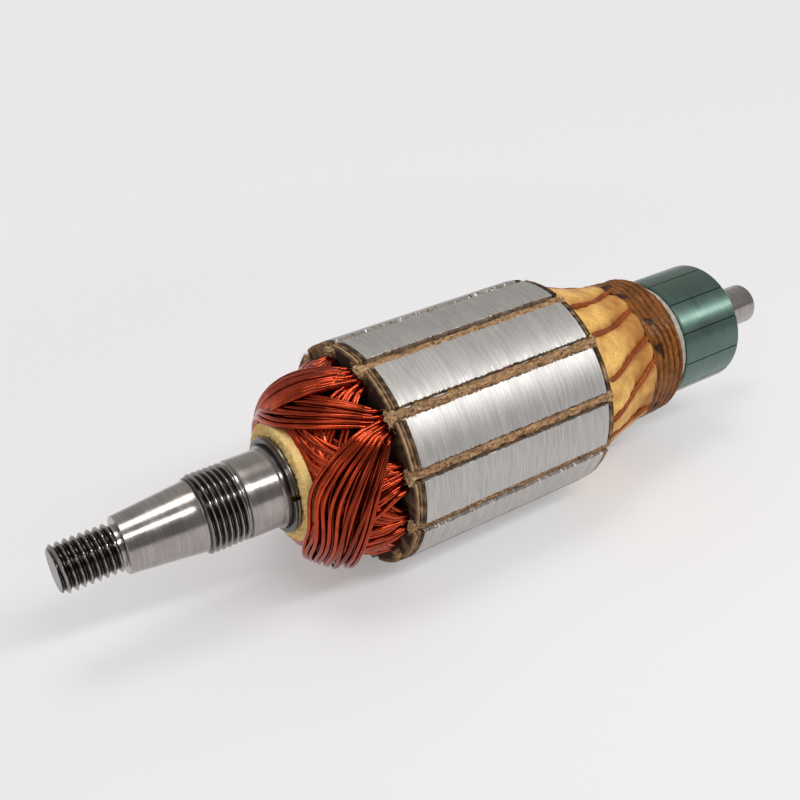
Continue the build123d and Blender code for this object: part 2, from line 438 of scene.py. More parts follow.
def spread(tree, value, low, high, from_low=0.3, from_high=0.7):
    """Maps a value onto a range."""
    node = add_node(tree, "ShaderNodeMapRange", {
        "Value": value, "From Min": from_low, "From Max": from_high, "To Min": low, "To Max": high})
    return node.outputs["Result"]


def shade(colour, factor):
    """Colour made darker or lighter by a factor."""
    return tuple(min(1.0, channel * factor) for channel in colour)


def tones(colour, low, high):
    """Darker and lighter tone of a colour."""
    return shade(colour, low), shade(colour, high)


# Grain of a finish, with the range over which its tone changes, and blotches that lie over it
Grain = namedtuple("Grain", "stretch scale roughness low high", defaults=(0.6, 0.3, 0.7))
Blot = namedtuple("Blot", "scale cover softness strength colour")
EVEN = (1.0, 1.0, 1.0)


def finish(name, tone_pair, grain, blots, rough, drive="Slow", relief=None, dirt_and_painted_shade_colour=None, dirt_and_painted_shade_share=1.0,
           **constants):
    """Material with a grain between two tones, blotches over it, and dirt and painted shade where a piece's
    points are marked.

    rough: least and most roughness, which follows the grain's output drive. relief: its metres and strength.
    """
    material, tree, shader = new_material(name, **constants)
    lines = place_group(tree, grain_group(), Stretch=grain.stretch, Scale=grain.scale,
                        Roughness=grain.roughness)
    colour = tint(tree, spread(tree, lines["Fine"], 0, 1, grain.low, grain.high), *tone_pair)
    for blot in blots:
        spots = place_group(tree, blotch_group(), Scale=blot.scale, Cover=blot.cover, Softness=blot.softness)
        colour = tint(tree, spread(tree, spots["Mask"], 0, blot.strength, 0, 1), colour, blot.colour)
    if dirt_and_painted_shade_colour:
        colour = tint(tree, place_group(tree, dirt_and_painted_shade_group(), Amount=dirt_and_painted_shade_share)["Mask"], colour, dirt_and_painted_shade_colour)
    tree.links.new(colour, shader.inputs["Base Color"])
    tree.links.new(spread(tree, lines[drive], *rough), shader.inputs["Roughness"])
    if relief:
        distance, strength = relief
        values = {"Height": lines["Fine"], "Distance": distance, "Strength": strength}
        bump = add_node(tree, "ShaderNodeBump", values)
        tree.links.new(bump.outputs["Normal"], shader.inputs["Normal"])
    return material


def turned_steel(name, colour):
    """Turned and ground steel with fine tool lines round it and a thin film of oil."""
    film = Blot(160.0, 0.45, 0.25, 0.5, shade(colour, 0.55))
    return finish(name, tones(colour, 0.8, 1.1), Grain((1.0, 0.03, 0.03), 2600.0), [film], rough=(0.15, 0.27),
                  relief=(0.00002, 0.4), dirt_and_painted_shade_colour=(0.045, 0.042, 0.04), dirt_and_painted_shade_share=0.95, Metallic=1.0)


def ground_core(colour):
    """Edges of the stacked sheets, ground round, with lines of sheets and light rust."""
    rust = Blot(260.0, 0.3, 0.1, 0.2, (0.4, 0.34, 0.28))
    sheets = Grain((1.0, 0.05, 0.05), 2600.0, 0.7, 0.35, 0.65)
    return finish("ground_core", tones(colour, 0.78, 1.08), sheets, [rust], rough=(0.44, 0.52),
                  relief=(0.00003, 0.5), Metallic=1.0)


def fibrous(name, colour, dark, scale, stretch=EVEN, specks=0.25, roughness=0.85, contrast=0.3, dirt_and_painted_shade_colour=None):
    """Board, paper or wood-like fibre with streaks and dark specks, and dirt and painted shade where its
    points are marked.
    """
    stains = Blot(scale * 0.2, 0.45, 0.2, 0.5, dark)
    dots = Blot(scale * 0.9, specks, 0.06, 0.85, shade(dark, 0.25))
    return finish(name, tones(colour, 1 - contrast, 1 + contrast), Grain(stretch, scale, 0.7), [stains, dots],
                  rough=(roughness - 0.15, roughness + 0.1), drive="Fine", relief=(0.00012, 0.8), dirt_and_painted_shade_colour=dirt_and_painted_shade_colour,
                  Specular_IOR_Level=0.25)


def enamelled_wire(name, colour):
    """Copper wire under clear red-brown enamel."""
    dust = Blot(330.0, 0.4, 0.2, 0.45, shade(colour, 0.35))
    return finish(name, tones(colour, 0.7, 1.25), Grain(EVEN, 420.0), [dust], rough=(0.07, 0.14),
                  dirt_and_painted_shade_colour=shade(colour, 0.2), Metallic=1.0, Coat_Weight=0.14, Coat_Roughness=0.04, Coat_IOR=1.5)


def varnished_cloth(colour):
    """Cotton cloth soaked in yellow varnish, stained brown in its folds."""
    stains = Blot(110.0, 0.42, 0.12, 0.55, (0.46, 0.2, 0.045))
    specks = Blot(600.0, 0.3, 0.05, 0.5, (0.12, 0.05, 0.02))
    return finish("varnished_cloth", tones(colour, 0.8, 1.12), Grain(EVEN, 900.0), [stains, specks],
                  rough=(0.45, 0.7), relief=(0.00015, 0.7), dirt_and_painted_shade_colour=(0.36, 0.13, 0.022), dirt_and_painted_shade_share=0.9,
                  Specular_IOR_Level=0.2, Coat_Weight=0.1, Coat_Roughness=0.4)


def varnished_cord(name, colour):
    """Twisted cord or wire soaked in amber varnish."""
    pools = Blot(180.0, 0.5, 0.2, 0.7, shade(colour, 0.35))
    return finish(name, tones(colour, 0.5, 1.5), Grain((1.0, 0.5, 0.5), 1300.0), [pools], rough=(0.3, 0.6),
                  relief=(0.0002, 0.7), dirt_and_painted_shade_colour=shade(colour, 0.12), Specular_IOR_Level=0.12, Coat_Weight=0.12,
                  Coat_Roughness=0.06, Coat_IOR=1.5)


def green_lacquer(colour):
    """Turned copper bars under green lacquer, with its fill in the slits."""
    clouds = Blot(90.0, 0.5, 0.3, 0.4, shade(colour, 0.7))
    return finish("green_lacquer", tones(colour, 0.85, 1.15), Grain((1.0, 0.05, 0.05), 1200.0), [clouds],
                  rough=(0.27, 0.36), relief=(0.00002, 0.4), dirt_and_painted_shade_colour=shade(colour, 0.4), Metallic=0.85,
                  Coat_Weight=0.12, Coat_Roughness=0.15, Coat_IOR=1.5)


# Settings

class ArmatureSettings(bpy.types.PropertyGroup):
    """Sizes and colours of the armature that a user would change."""

    tip_pitch: bpy.props.FloatProperty(
        name="Tip thread pitch", description="Pitch of the thread at the shaft's tip",
        default=1.75 * MM, unit="LENGTH")
    nut_pitch: bpy.props.FloatProperty(
        name="Nut thread pitch", description="Pitch of the thread beside the bearing seat",
        default=1.5 * MM, unit="LENGTH")
    sheet_thickness: bpy.props.FloatProperty(
        name="Core sheet", description="Thickness of one sheet of the core", default=0.5 * MM, unit="LENGTH")
    wire_diameter: bpy.props.FloatProperty(
        name="Wire", description="Diameter of the winding wire", default=1.14 * MM, unit="LENGTH")
    wires_across: bpy.props.IntProperty(
        name="Wires across", description="Wires side by side in one coil", default=12, min=3)
    cord_turns: bpy.props.IntProperty(
        name="Cord turns", description="Turns of the cord binding", default=6, min=2)
    seed: bpy.props.IntProperty(
        name="Seed", description="Start of the random numbers that place fibres, nicks and wires", default=0)
    first_bar_slit: bpy.props.FloatProperty(
        name="First slit", description="Angle of the first commutator slit about the shaft",
        default=math.radians(3.0), subtype="ANGLE")
    washer_split: bpy.props.FloatProperty(
        name="Washer split", description="Angle of the washer's split about the shaft",
        default=math.radians(167.3), subtype="ANGLE")
    steel_colour: bpy.props.FloatVectorProperty(
        name="Shaft steel", description="Colour of the turned steel",
        default=(0.44, 0.405, 0.385), subtype="COLOR")
    core_colour: bpy.props.FloatVectorProperty(
        name="Core steel", description="Colour of the ground core",
        default=(0.57, 0.55, 0.53), subtype="COLOR")
    board_colour: bpy.props.FloatVectorProperty(
        name="Pressboard", description="Colour of the pressboard sleeve",
        default=(1.0, 0.63, 0.25), subtype="COLOR")
    fibre_colour: bpy.props.FloatVectorProperty(
        name="Fibre", description="Colour of the end plates and slot strips",
        default=(0.27, 0.17, 0.09), subtype="COLOR")
    paper_colour: bpy.props.FloatVectorProperty(
        name="Slot paper", description="Colour of the frayed slot paper",
        default=(0.56, 0.40, 0.22), subtype="COLOR")
    enamel_colour: bpy.props.FloatVectorProperty(
        name="Enamel", description="Colour of the enamelled wire",
        default=(0.52, 0.06, 0.017), subtype="COLOR")
    cloth_colour: bpy.props.FloatVectorProperty(
        name="Cloth", description="Colour of the varnished cloth",
        default=(0.84, 0.5, 0.14), subtype="COLOR")
    mica_colour: bpy.props.FloatVectorProperty(
        name="Mica", description="Colour of the ring in front of the commutator",
        default=(0.45, 0.44, 0.40), subtype="COLOR")
    cord_colour: bpy.props.FloatVectorProperty(
        name="Cord", description="Colour of the varnished cord",
        default=(0.25, 0.082, 0.012), subtype="COLOR")
    lead_colour: bpy.props.FloatVectorProperty(
        name="Leads", description="Colour of the varnished leads",
        default=(0.33, 0.07, 0.01), subtype="COLOR")
    lacquer_colour: bpy.props.FloatVectorProperty(
        name="Lacquer", description="Colour of the commutator's lacquer",
        default=(0.108, 0.178, 0.148), subtype="COLOR")


# Pieces

def thread_span(name):
    """Ends and crest radius of a thread on the shaft, from its mount."""
    mount = next(mount for mount in frame["record"]["mounts"] if mount["name"] == name)
    crest, middle = mount["dims"]["r_mm"], mount["pos_m"][0] / MM
    on_crest = [station for station, radius in turned_profile("shaft") if abs(radius - crest) < 0.01]
    near = [station for station in on_crest if abs(station - middle) < mount["dims"]["length_mm"]]
    return min(near), max(near), crest


class ARMATURE_OT_shaft(bpy.types.Operator):
    """Turned shaft with its two threads cut as real helices"""

    bl_idname = "armature.shaft"
    bl_label = "Shaft"

    def execute(self, context):
        settings = context.scene.armature
        segments = 144
        collar_shade = 0.6
        root_shade_depth = 0.45
        angles = angles_round(segments)
        threads = [(*thread_span("tip_thread"), settings.tip_pitch / MM),
                   (*thread_span("nut_thread"), settings.nut_pitch / MM)]
        rows = self.stations(threads)
        grid = lathe(rows, segments)
        grime = np.zeros(grid.shape[:2])
        for low, high, crest, pitch in threads:
            for row, (station, radius) in enumerate(rows):
                if not low - 1.0 < station < high + 0.05 or radius < crest - 1.2:
                    continue
                phase = (station / pitch - angles / FULL_TURN) % 1.0
                flank = np.clip((np.abs(phase - 0.5) * 2 - ROOT_FLAT) / FLANK_RUN, 0, 1)
                thread = np.minimum(radius, crest - THREAD_DEPTH * pitch * (1 - flank))
                grid[row] = polar(station, thread, angles)
                # Darker towards the thread roots, as dirt and painted shade in the roots
                grime[row] = np.clip((crest - thread) / root_shade_depth / pitch, 0, 1)
        _, washer_end, _ = span("split_washer")
        shoulder_radius = bore_of("split_washer") + 0.3
        # The collar under the washer and the shoulder beside it are darkened as painted shade
        for row, (station, radius) in enumerate(rows):
            on_collar = 0.02 < station < washer_end + 0.1
            on_shoulder = abs(station) < 0.1 and radius > shoulder_radius
            if on_collar or on_shoulder:
                grime[row] = collar_shade
        sheet = Sheet()
        sheet.grid(grid, closed=True, caps=True)
        steel = turned_steel("turned_steel", settings.steel_colour)
        mark_dirt_and_painted_shade(sheet.piece("turned_shaft", steel, "turned_steel", ["shaft"], sharp=32), grime)
        return {"FINISHED"}

    def stations(self, threads):
        """Rows of the turned skin, close together along the threads."""
        rows_a_pitch = 14
        edges = chamfered(turned_profile("shaft"), 0.15)
        rows = []
        for start, end in zip(edges, edges[1:]):
            pitches = [pitch for low, high, _, pitch in threads
                       if low - 1.2 < start[0] and end[0] < high + 0.3]
            count = max(1, int((end[0] - start[0]) / pitches[0] * rows_a_pitch)) if pitches else 1
            rows.extend(start + (end - start) * step / count for step in range(count))
        return rows + [edges[-1]]


class ARMATURE_OT_washer(bpy.types.Operator):
    """Split spring washer in front of the winding, with a groove between its two turns"""

    bl_idname = "armature.washer"
    bl_label = "Split washer"

    def execute(self, context):
        settings = context.scene.armature
        start, end, outer = span("split_washer")
        inner = bore_of("split_washer")
        middle = (start + end) / 2
        groove_half_width = 0.12
        groove_depth = 0.35
        split_half_angle = 0.065
        corners = [(middle, inner), (start, inner), (start, outer), (middle - groove_half_width, outer),
                   (middle, outer - groove_depth), (middle + groove_half_width, outer), (end, outer),
                   (end, inner), (middle, inner)]
        section = np.array(chamfered(corners, 0.2)[:-1])
        angles = np.linspace(split_half_angle, FULL_TURN - split_half_angle, 160) + settings.washer_split
        sheet = Sheet()
        sheet.grid(polar(section[None, :, 0], section[None, :, 1], angles[:, None]), closed=True, caps=True)
        spring = turned_steel("spring_steel", shade(settings.steel_colour, 0.5))
        ring = sheet.piece("split_ring", spring, "turned_steel", ["split_washer"], sharp=32)
        # The washer is darkened as painted shade, fully in its groove and towards its bore, a little on its
        # rim
        groove = np.where(section[:, 1] < outer - 0.25, 1.0, 0.2)
        mark_dirt_and_painted_shade(ring, np.broadcast_to(groove, (len(angles), len(section))))
        return {"FINISHED"}


def fibres(sheet, roots, directions, lengths, radius, rng):
    """Adds short bent fibres that stand out from points along given directions, inside the core's outside."""
    steps = np.linspace(0, 1, 5)[:, None]
    limit = span("lamination_stack")[2] - radius
    for root, direction, length in zip(roots, directions, lengths):
        bend = rng.normal(size=3) * 0.35
        path = root + length * (direction * steps + bend * steps**2)
        path[:, 1:] *= np.minimum(1, limit / radius_of(path))[:, None]
        sheet.tube(path, radius * np.linspace(1.0, 0.5, 5), 4)


class ARMATURE_OT_sleeve(bpy.types.Operator):
    """Pressboard sleeve with a ragged front edge and loose fibres"""

    bl_idname = "armature.sleeve"
    bl_label = "Pressboard sleeve"

    def execute(self, context):
        settings = context.scene.armature
        start, end, outer = span("winding_sleeve")
        inner = bore_of("winding_sleeve")
        profile = [(end, inner), (start + 0.5, inner), (start + 0.1, inner + 0.3)]
        profile += [(start, inner + share * (outer - inner)) for share in np.linspace(0.15, 0.7, 9)]
        profile += [(start + 0.1, outer - 0.4), (start + 0.35, outer - 0.15), (start + 0.9, outer)]
        behind = (0.09, 0.14, 0.18, 0.24, 0.31, 0.4, 1.0)
        profile += [(start + share * (end - start), outer) for share in behind]
        points = lathe(profile, 300)
        ragged = rumple(points, ((2.6, 0.2), (0.9, 0.16), (0.4, 0.12)), 11)
        front = np.clip(1 - (points[..., 0] - start) / 4.0, 0, 1)
        points[..., 0] = np.maximum(points[..., 0] + front * (0.25 + ragged), start)
        swell(points, np.minimum(0, ragged * 0.5))
        sheet = Sheet()
        sheet.grid(points, closed=True)
        rng = draws(settings, "sleeve")
        count = 320
        angles = rng.uniform(0, FULL_TURN, count)
        roots = polar(np.full(count, start + 0.35), rng.uniform(inner + 0.4, outer - 0.1, count), angles)
        outward = polar(np.full(count, -0.35), rng.uniform(-0.3, 0.8, count), angles)
        fibres(sheet, roots, outward, rng.uniform(0.3, 0.8, count), 0.045, rng)
        board = fibrous("pressboard", settings.board_colour, (0.75, 0.43, 0.14), 1500.0, specks=0.28,
                        contrast=0.28, dirt_and_painted_shade_colour=(0.045, 0.018, 0.007))
        sleeve = sheet.piece("pressboard_sleeve", board, "pressboard", ["winding_sleeve"])
        # Behind its front edge the board darkens towards the core, as painted shade under the coils
        unshaded_depth = 3.5
        depth = np.clip((points[..., 0] - start - unshaded_depth) / 3.0, 0, 1)
        mark_dirt_and_painted_shade(sleeve, depth, np.zeros(sheet.count - depth.size))
        return {"FINISHED"}


def mouth_width():
    """Width of a slot's mouth, from the part of a wedge that stands between the lips."""
    points = node_points("slot_wedge_01")
    angle = slot_angles()[0]
    top = points[radius_of(points) > span("slot_wedge_01")[2] - 0.5]
    return 2 * np.abs(-top[:, 1] * math.sin(angle) + top[:, 2] * math.cos(angle)).max()


def stacked_sheets(ends, count, radius, depth, bore, mouth, arc_points, radius_jitter, edge_jitter, rng):
    """Skin of a stack of slotted sheets, each a little different, closed over a plain bore."""
    start, end = ends
    pitch = FULL_TURN / SLOT_COUNT
    edge = mouth / 2 / radius
    rim = edge + 0.22 / radius
    arc = np.concatenate([[edge], np.linspace(rim, pitch - rim, arc_points), [pitch - edge]])
    one = np.concatenate([[-edge * 0.97, edge * 0.97], arc])
    place = np.tile(np.arange(len(one)), SLOT_COUNT)
    columns = len(place)
    angles = np.concatenate([one + turn for turn in slot_angles()])
    tooth, first, last = place >= 2, place == 2, place == len(one) - 1
    edges = np.linspace(start, end, count + 1)
    rows = [polar(start, np.full(columns, bore), angles)]
    for front, back in zip(edges, edges[1:]):
        ground = abs(rng.normal(0, radius_jitter))
        nick = np.abs(rng.normal(0, edge_jitter, columns)) * (rng.uniform(size=columns) < 0.75)
        ring = np.where(tooth, radius - ground, radius - depth) - (first | last) * nick * 0.8
        turned = angles + (first * nick - last * nick) / radius
        rows.append(polar(front, ring, turned))
        rows.append(polar(back, ring, turned))
    rows.append(polar(end, np.full(columns, bore), angles))
    return np.array(rows)


class ARMATURE_OT_core(bpy.types.Operator):
    """Core of thin steel sheets, ground round, with ragged slot edges"""

    bl_idname = "armature.core"
    bl_label = "Laminated core"

    def execute(self, context):
        settings = context.scene.armature
        start, end, radius = span("lamination_stack")
        count = round((end - start) / (settings.sheet_thickness / MM))
        skin = stacked_sheets((start, end), count, radius, depth=2.2, bore=bore_of("lamination_stack"),
                              mouth=mouth_width(), arc_points=8, radius_jitter=0.01, edge_jitter=0.2,
                              rng=draws(settings, "core"))
        sheet = Sheet()
        sheet.ring(skin)
        steel = ground_core(settings.core_colour)
        sheet.piece("core_sheets", steel, "core_steel", ["lamination_stack"], sharp=30)
        return {"FINISHED"}


class ARMATURE_OT_end_plates(bpy.types.Operator):
    """Fibre plates at both ends of the core, built up of frayed sheets"""

    bl_idname = "armature.end_plates"
    bl_label = "End plates"

    def execute(self, context):
        settings = context.scene.armature
        rng = draws(settings, "end_plates")
        board = fibrous("end_fibre", shade(settings.fibre_colour, 1.6), (0.2, 0.1, 0.04), 700.0,
                        (3.0, 0.25, 0.25), specks=0.34, contrast=0.5, dirt_and_painted_shade_colour=(0.035, 0.019, 0.01))
        # Tone of each layer of a plate, and how much darker it turns towards the top
        for name, layers, top_darkening in (("drive_end_plate", (0.0, 0.7, 0.35, 0.9, 0.6), 0.0),
                                       ("commutator_end_plate", (0.7, 0.5, 0.8), 0.5)):
            start, end, radius = span(name)
            skin = stacked_sheets((start, end), len(layers), radius - 0.1, depth=2.4, bore=bore_of(name),
                                  mouth=mouth_width() + 0.3, arc_points=24, radius_jitter=0.2,
                                  edge_jitter=0.25, rng=rng)
            skin = np.insert(skin, 1, skin[1] * (1, 0.955, 0.955), axis=0)
            # Both faces of a plate, under the winding and the cover, are darkened almost to black as painted
            # shade
            tone_and_painted_shade = np.array([1.0, 0.95, *np.repeat(layers, 2), 0.9])[:, None]
            tone_and_painted_shade = tone_and_painted_shade + rumple(skin, ((9.0, 0.3), (2.0, 0.35)), 21) + top_darkening * skin[..., 2] / radius
            sheet = Sheet()
            sheet.ring(skin)
            count = 260
            angles = rng.uniform(0, FULL_TURN, count)
            roots = polar(rng.uniform(start + 0.2, end - 0.2, count), radius - 0.45, angles)
            along = np.cross(polar(0, 1.0, angles), (1, 0, 0)) * rng.choice((-1, 1), (count, 1))
            fibres(sheet, roots, along + polar(0, 0.1, angles), rng.uniform(0.5, 1.8, count), 0.05, rng)
            piece = sheet.piece(f"{name}_board", board, "end_fibre", [name], sharp=35)
            mark_dirt_and_painted_shade(piece, np.clip(tone_and_painted_shade, 0, 1), np.full(sheet.count - tone_and_painted_shade.size, layers[0] * 0.8))
        return {"FINISHED"}


class ARMATURE_OT_slot_strips(bpy.types.Operator):
    """Fibre strip in the mouth of each slot, torn along its edges"""

    bl_idname = "armature.slot_strips"
    bl_label = "Slot strips"

    def execute(self, context):
        settings = context.scene.armature
        strip = fibrous("slot_fibre", shade(settings.fibre_colour, 1.55), (0.27, 0.105, 0.035), 1500.0,
                        (0.35, 1.2, 1.2), specks=0.42, contrast=0.85)
        half = mouth_width() / 2
        # Half of the strip's section from its middle: places in half widths, and heights in millimetres
        across = np.array([0.25, 0.5, 0.75, 0.96, 1.0, 1.12])
        bow = np.array([0.05, 0, -0.1, -0.5, -1.3, -2.0])
        across = np.concatenate([-across[::-1], [0], across]) * half
        bow = np.concatenate([bow[::-1], [0.1], bow])
        for index, angle in enumerate(slot_angles()):
            name = f"slot_wedge_{index + 1:02d}"
            start, end, top = span(name)
            rng = draws(settings, "slot_strips", index)
            stations = np.linspace(start, end, 190)[:, None]
            flat = stacked(stations, across[None], index * 9.0)
            rough = waves(flat * (0.22, 1, 1), 1.2, 31) * 0.28 + waves(flat * (0.5, 1, 1), 0.5, 32) * 0.16
            torn = np.clip(waves(flat * (0.35, 0.2, 1), 2.0, 33) - 0.45, 0, 1) * 0.7
            level = top - 0.35 + bow + np.minimum(rough - torn, 0.3) * (np.abs(across) < half * 0.98)
            gap = 0.3 * np.clip(waves(flat * (0.5, 0, 1) + np.sign(flat) * (0, 7, 0), 3.0, 34), 0, 1)
            skin = stacked(stations, across[None] * (1 - gap), level)
            sheet = Sheet()
            sheet.grid(upright(skin, angle), closed=True, caps=True)
            count = 90
            places = rng.uniform(start + 1, end - 1, count)
            sides = rng.uniform(-0.95, 0.95, count) * half
            roots = polar(places, top - 0.45, angle + sides / top)
            along = polar(rng.choice((-1.0, 1.0), count), 0.1, angle + sides / top * 6)
            fibres(sheet, roots, along, rng.uniform(0.6, 3.0, count), 0.06, rng)
            sheet.piece(f"slot_strip_{index + 1:02d}", strip, "slot_fibre", [name])
        return {"FINISHED"}


class ARMATURE_OT_slot_paper(bpy.types.Operator):
    """Frayed tufts of slot paper that stand out at both ends of each slot"""

    bl_idname = "armature.slot_paper"
    bl_label = "Slot paper"

    def execute(self, context):
        settings = context.scene.armature
        start, end, _ = span("slot_liners")
        top = span("slot_wedge_01")[2]
        rng = draws(settings, "slot_paper")
        sheet = Sheet()
        lift = np.linspace(0, np.pi, 18)[:, None]
        ball = polar(np.cos(lift), np.sin(lift), angles_round(30)[None])
        tuft_size = np.array([1.2, 1.9, 0.8])
        for index, angle in enumerate(slot_angles()):
            for station, way in ((start, -1.0), (end, 1.0)):
                lump = ball * (tuft_size * rng.uniform(0.8, 1.1, 3))
                seed = settings.seed + index * 2 + (way > 0)
                lump *= (1 + 0.4 * waves(lump, 1.6, seed) + 0.2 * waves(lump, 0.6, seed + 50))[..., None]
                lump += (station - way * 1.9, rng.uniform(-0.5, 0.5), top - 1.3)
                lump[..., 2] = np.minimum(lump[..., 2], top)
                sheet.grid(upright(lump, angle), closed=True)
                count = 80
                around = angle + rng.uniform(-2.4, 2.4, count) / top
                places = station - way * rng.uniform(0.8, 2.8, count)
                roots = polar(places, rng.uniform(top - 2.2, top - 0.5, count), around)
                out = polar(way * rng.uniform(-0.4, 1.0, count), rng.uniform(-0.3, 0.5, count), around)
                out += np.cross(polar(0, 1.0, around), (1, 0, 0)) * rng.normal(0, 0.5, (count, 1))
                fibres(sheet, roots, out, rng.uniform(0.5, 1.4, count), 0.05, rng)
        paper = fibrous("slot_paper", settings.paper_colour, (0.22, 0.13, 0.06), 1500.0, specks=0.24)
        sheet.piece("slot_paper_ends", paper, "slot_paper", ["slot_liners"])
        return {"FINISHED"}


class ARMATURE_OT_head_coils(bpy.types.Operator):
    """Coils of the drive-end winding, laid wire by wire in opposite pairs"""

    bl_idname = "armature.head_coils"
    bl_label = "Drive-end coils"

    def execute(self, context):
        settings = context.scene.armature
        copper = enamelled_wire("enamelled_wire", settings.enamel_colour)
        radius = settings.wire_diameter / MM / 2
        layers = 3
        sides = 8
        for index, slot in enumerate(slot_angles()):
            name = f"head_coil_{index + 1:02d}"
            lay = COIL_LAYS.get(name, Lay())
            across = round(settings.wires_across * lay.share)
            rng = draws(settings, "coils", index)
            sheet = Sheet()
            marks = []
            for layer in range(layers):
                for place in range(across - layer):
                    share = (place + 0.5 * layer + rng.uniform(-0.2, 0.2)) / (across - 1)
                    stack = 1.15 * (place % 3) + 2.4 * layer
                    stations, radii, angles = self.wire(share, layer, stack, lay, radius, rng)
                    sheet.tube(polar(stations, radii, angles + slot + HALF_COIL), radius, sides)
                    # Each wire gets a random dust tone, and painted shade a quarter deeper for each layer
                    # under the top one
                    dust = max(0.0, rng.normal(0.2, 0.25)) + 0.25 * layer
                    marks.append(np.full(len(stations) * sides, dust))
            coil = sheet.piece(f"coil_{index + 1:02d}", copper, "enamelled_wire", [name], sharp=60)
            mark_dirt_and_painted_shade(coil, *marks)
        # The copper deep in the slots stays as the solid that it is, with its enamel darkened to a fifth as
        # painted shade
        mesh = frame["nodes"]["slot_windings"].data
        mesh.materials.clear()
        mesh.materials.append(enamelled_wire("shaded_wire", shade(settings.enamel_colour, 0.2)))
        return {"FINISHED"}

    def wire(self, share, layer, stack, lay, radius, rng):
        """Stations, radii and angles of one wire from slot to slot over the dome of its coil."""
        front, _, sleeve = span("winding_sleeve")
        _, root, crown = span("head_coil_05")
        tucked_under_edge = 0.8
        under_wedge = 3.4
        nose = front + lay.back
        inmost = sleeve + radius - tucked_under_edge + lay.rise
        steps = np.sin(np.linspace(-0.5, 0.5, 64) * math.pi)
        # Most wires keep to their place in the coil, and a few cross it
        skew = rng.normal(0, 0.03) if rng.uniform() < 0.86 else rng.normal(0, 0.14)
        drift = 0.025 * np.sin(steps * rng.uniform(2, 5) + rng.uniform(0, 6))
        place = np.clip(share + skew * steps + drift * (1 - steps**2), -0.02, 1.05)
        sunk = radius * (1.0 + 1.6 * layer + rng.uniform(0, 0.3) - min(abs(skew) * 4, 0.7))
        # Wires farther out turn to their slots sooner and sit farther back
        tight = np.where(steps < 0, lay.tight, lay.far)
        bend = np.abs(steps) ** (tight * (lay.loose / tight) ** np.clip(place, 0, 1))
        foremost = nose + sunk - radius + lay.spread * np.clip(place, 0, None) ** 1.55
        foremost = foremost + lay.slant * ease(0.25 - 1.5 * steps)
        stations = foremost + (root + 0.5 - foremost) * bend
        height = np.clip((root - stations) / (root - nose - sunk + radius), 0, 1)
        radii = inmost + (crown - lay.drop - inmost - sunk) * (1 - height**lay.dome) ** (1 / lay.dome)
        angles = steps * (HALF_COIL + np.radians(3 - 10 * place))
        # Both ends dive into their slots
        ends = ease((np.abs(steps) - 0.95) / 0.05)
        in_slot = span("slot_wedge_01")[2] - under_wedge - stack
        stations = stations + (span("slot_windings")[0] + 3.0 - stations) * ends
        radii = radii + (in_slot - radii) * ends
        return stations, radii, angles


def cover_radius():
    """Outside radius of the cover as a function of the station."""
    corners = np.array(turned_profile("winding_cover"))
    stations = np.unique(corners[:, 0])
    outside = [corners[corners[:, 0] == station, 1].max() for station in stations]
    return lambda station: np.interp(station, stations, outside)


def lead_angles(index, share):
    """Angle of a lead off its slot at shares of the cover's length: a slow sweep, then a quick one."""
    start, end = LEAD_SWEEPS[index]
    return np.radians(start + (end - start) * share ** 1.7)


class ARMATURE_OT_rear_cover(bpy.types.Operator):
    """Varnished cloth over the commutator-end winding, sunk under the leads"""

    bl_idname = "armature.rear_cover"
    bl_label = "Cloth cover"

    def execute(self, context):
        segments = 300
        winding_depth = 2.4
        groove_width = 1.7
        _, end, _ = span("winding_cover")
        start = span("commutator_end_plate")[1] - 0.1
        stations = np.linspace(start, end, 70)
        radii = cover_radius()(stations)
        points = lathe(np.stack([stations, radii], axis=-1), segments)
        angles = np.arctan2(points[..., 2], points[..., 1])
        share = ((stations - start) / (end - start))[:, None]
        folds = rumple(points, ((8.0, 0.4), (3.0, 0.16), (1.1, 0.05)), 61)
        sunk = np.zeros_like(angles)
        for index, slot in enumerate(slot_angles()):
            apart = (angles - slot - lead_angles(index, share) + np.pi) % FULL_TURN - np.pi
            sunk += np.exp(-((apart * radii[:, None] / groove_width) ** 2))
        swell(points, np.minimum(folds - 0.2 - 0.9 * sunk + 0.3 * np.sin(share * np.pi), 0.0))
        inner = lathe(np.stack([stations[[-1, 0]], radii[[-1, 0]] - winding_depth], axis=-1), segments)
        sheet = Sheet()
        sheet.ring(np.concatenate([points, inner]))
        cloth = varnished_cloth(context.scene.armature.cloth_colour)
        cover = sheet.piece("cloth_cover", cloth, "varnished_cloth", ["winding_cover", "rear_winding"])
        soaked = np.clip(sunk * 0.5 + share ** 1.2 - folds * 0.9 - 0.05, 0, 1)
        mark_dirt_and_painted_shade(cover, soaked, np.zeros(inner.shape[:2]))
        return {"FINISHED"}


class ARMATURE_OT_leads(bpy.types.Operator):
    """Lead wire from each slot, lying on the cover down to the binding"""

    bl_idname = "armature.leads"
    bl_label = "Lead wires"

    def execute(self, context):
        settings = context.scene.armature
        radius = settings.wire_diameter / MM * 0.7
        start, end, _ = span("lead_wires")
        first, last, _ = span("winding_cover")
        share = np.linspace(0, 1, 48)
        stations = start + (end - start + 0.8) * share
        on_cover = np.clip((stations - first) / (last - first), 0, 1)
        # Out of the slot at first, then on the cover, and under the binding at last
        height = cover_radius()(stations) - 0.55 - 2.5 * np.exp(-share / 0.05) - 0.8 * share ** 12
        sheet = Sheet()
        for index, slot in enumerate(slot_angles()):
            rng = draws(settings, "leads", index)
            wander = 0.015 * np.sin(share * rng.uniform(4, 9) + rng.uniform(0, 6))
            sheet.tube(polar(stations, height, slot + lead_angles(index, on_cover) + wander), radius, 10)
        leads = varnished_cord("varnished_lead", settings.lead_colour)
        sheet.piece("cover_leads", leads, "enamelled_wire", ["lead_wires"], sharp=60)
        return {"FINISHED"}


